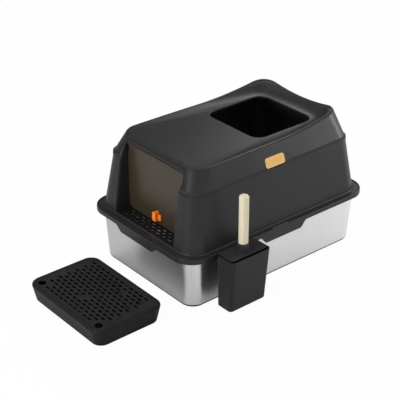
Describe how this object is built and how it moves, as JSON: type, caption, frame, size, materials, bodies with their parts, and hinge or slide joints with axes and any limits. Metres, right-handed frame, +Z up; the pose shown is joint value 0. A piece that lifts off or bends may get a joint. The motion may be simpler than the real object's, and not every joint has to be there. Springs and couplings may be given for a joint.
{
  "type": "litter box",
  "caption": "Enclosed litter box with a steel pan, two-part hood, swinging front flap, top entry, hang-on scoop holder with scoop, and a loose step.",
  "frame": {"origin": "on the floor, under the middle of the hood's flange, on the underside of the pan", "axes": "+Z up, -Y the way the door faces, +X towards the side that carries the scoop holder"},
  "size_m": [0.4615, 0.8364, 0.3662],
  "materials": {
    "stainless": "fine brushed, reflective",
    "hood_plastic": "fine-grained charcoal",
    "dark_plastic": "satin, near black",
    "smoke_plastic": "smoked, see-through",
    "orange_plastic": "satin",
    "amber_plastic": "satin",
    "zinc_steel": "plated",
    "birch": "cream lacquer",
    "rubber": "matt"
  },
  "bodies": {
    "pan": {"litter_pan": "stainless"},
    "hood_base": {"lower_hood": "hood_plastic", "entry_grid": "dark_plastic"},
    "lid": {"upper_hood": "hood_plastic", "latch_cover_right": "dark_plastic", "latch_cover_left": "dark_plastic", "latch_springs_right": "zinc_steel", "latch_springs_left": "zinc_steel", "latch_screws": "zinc_steel"},
    "flap": {"entry_flap": "smoke_plastic", "flap_pins": "zinc_steel"},
    "lock": {"flap_lock": "orange_plastic", "lock_clip": "orange_plastic"},
    "latch_right": {"latch_button_right": "amber_plastic"},
    "latch_left": {"latch_button_left": "amber_plastic"},
    "holder": {"scoop_holder": "hood_plastic"},
    "scoop": {"scoop_blade": "dark_plastic", "scoop_handle": "birch", "handle_screw": "zinc_steel"},
    "step": {"step_tray": "dark_plastic", "step_feet": "rubber"},
    "step_grille": {"step_grid": "dark_plastic"}
  },
  "joints": [
    {"name": "hood_lift", "type": "slide", "parent": "pan", "child": "hood_base", "axis": [0, 0, 1], "range_m": [0, 0.25]},
    {"name": "lid_lift", "type": "slide", "parent": "hood_base", "child": "lid", "axis": [0, 0, 1], "range_m": [0, 0.2]},
    {"name": "flap_swing", "type": "hinge", "parent": "lid", "child": "flap", "pos_m": [0, -0.233, 0.326], "axis": [1, 0, 0], "range_deg": [-70, 80]},
    {"name": "lock_drop", "type": "slide", "parent": "flap", "child": "lock", "axis": [0, 0, -1], "range_m": [0, 0.006]},
    {"name": "latch_press_right", "type": "slide", "parent": "lid", "child": "latch_right", "axis": [-1, 0, 0], "range_m": [0, 0.004], "stiffness_N_per_m": 600, "springref_m": -0.002, "deforming": ["latch_springs_right"]},
    {"name": "latch_press_left", "type": "slide", "parent": "lid", "child": "latch_left", "axis": [1, 0, 0], "range_m": [0, 0.004], "stiffness_N_per_m": 600, "springref_m": -0.002, "deforming": ["latch_springs_left"]},
    {"name": "holder_lift", "type": "slide", "parent": "hood_base", "child": "holder", "axis": [0, 0, 1], "range_m": [0, 0.15]},
    {"name": "scoop_lift", "type": "slide", "parent": "holder", "child": "scoop", "axis": [0, 0, 1], "range_m": [0, 0.2]},
    {"name": "step_lift", "type": "slide", "parent": "pan", "child": "step", "axis": [0, 0, 1], "range_m": [0, 0.1]},
    {"name": "step_grid_lift", "type": "slide", "parent": "step", "child": "step_grille", "axis": [0, 0, 1], "range_m": [0, 0.08]}
  ]
}
